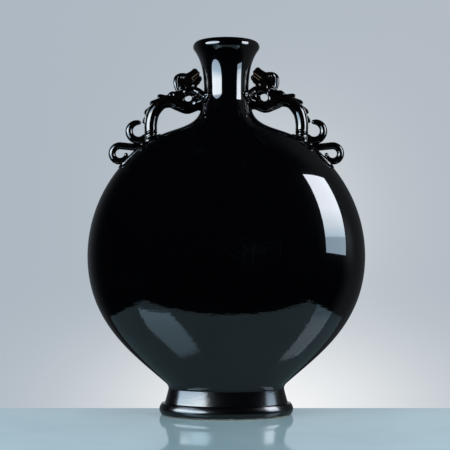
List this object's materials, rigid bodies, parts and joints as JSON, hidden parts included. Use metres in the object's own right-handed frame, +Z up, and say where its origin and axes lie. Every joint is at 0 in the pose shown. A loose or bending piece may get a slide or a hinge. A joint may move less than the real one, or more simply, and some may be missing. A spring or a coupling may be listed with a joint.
{
  "type": "moon flask vase",
  "caption": "Flattened round moon flask vase in mirror-black glaze, with a slim round neck, a splayed oval foot and small dragon handles on its shoulders.",
  "frame": {"origin": "centre of the standing foot, on the surface the flask stands on", "axes": "+Z up through the mouth, X across the broad faces from handle to handle, Y through the thin depth, with the face shown towards -Y"},
  "size_m": [0.2914, 0.131, 0.3906],
  "materials": {
    "black_glaze": "mirror-black high-fired glaze, glossy, faintly rippled, with hairline scratches",
    "thin_glaze": "the same black glaze, brown where it runs thin over modelled edges",
    "bare_clay": "unglazed buff clay, matte"
  },
  "bodies": {
    "root": {"body_front_half": "black_glaze", "body_back_half": "black_glaze", "neck": "black_glaze", "foot_ring": "black_glaze", "base_plate": "bare_clay", "dragon_torso_right": "thin_glaze", "dragon_head_right": "thin_glaze", "mane_curl_right": "thin_glaze", "foreleg_front_right": "thin_glaze", "foreleg_back_right": "thin_glaze", "tail_upper_scroll_right": "thin_glaze", "tail_lower_scroll_right": "thin_glaze", "tail_base_strip_right": "thin_glaze", "dragon_torso_left": "thin_glaze", "dragon_head_left": "thin_glaze", "mane_curl_left": "thin_glaze", "foreleg_front_left": "thin_glaze", "foreleg_back_left": "thin_glaze", "tail_upper_scroll_left": "thin_glaze", "tail_lower_scroll_left": "thin_glaze", "tail_base_strip_left": "thin_glaze"}
  },
  "joints": []
}
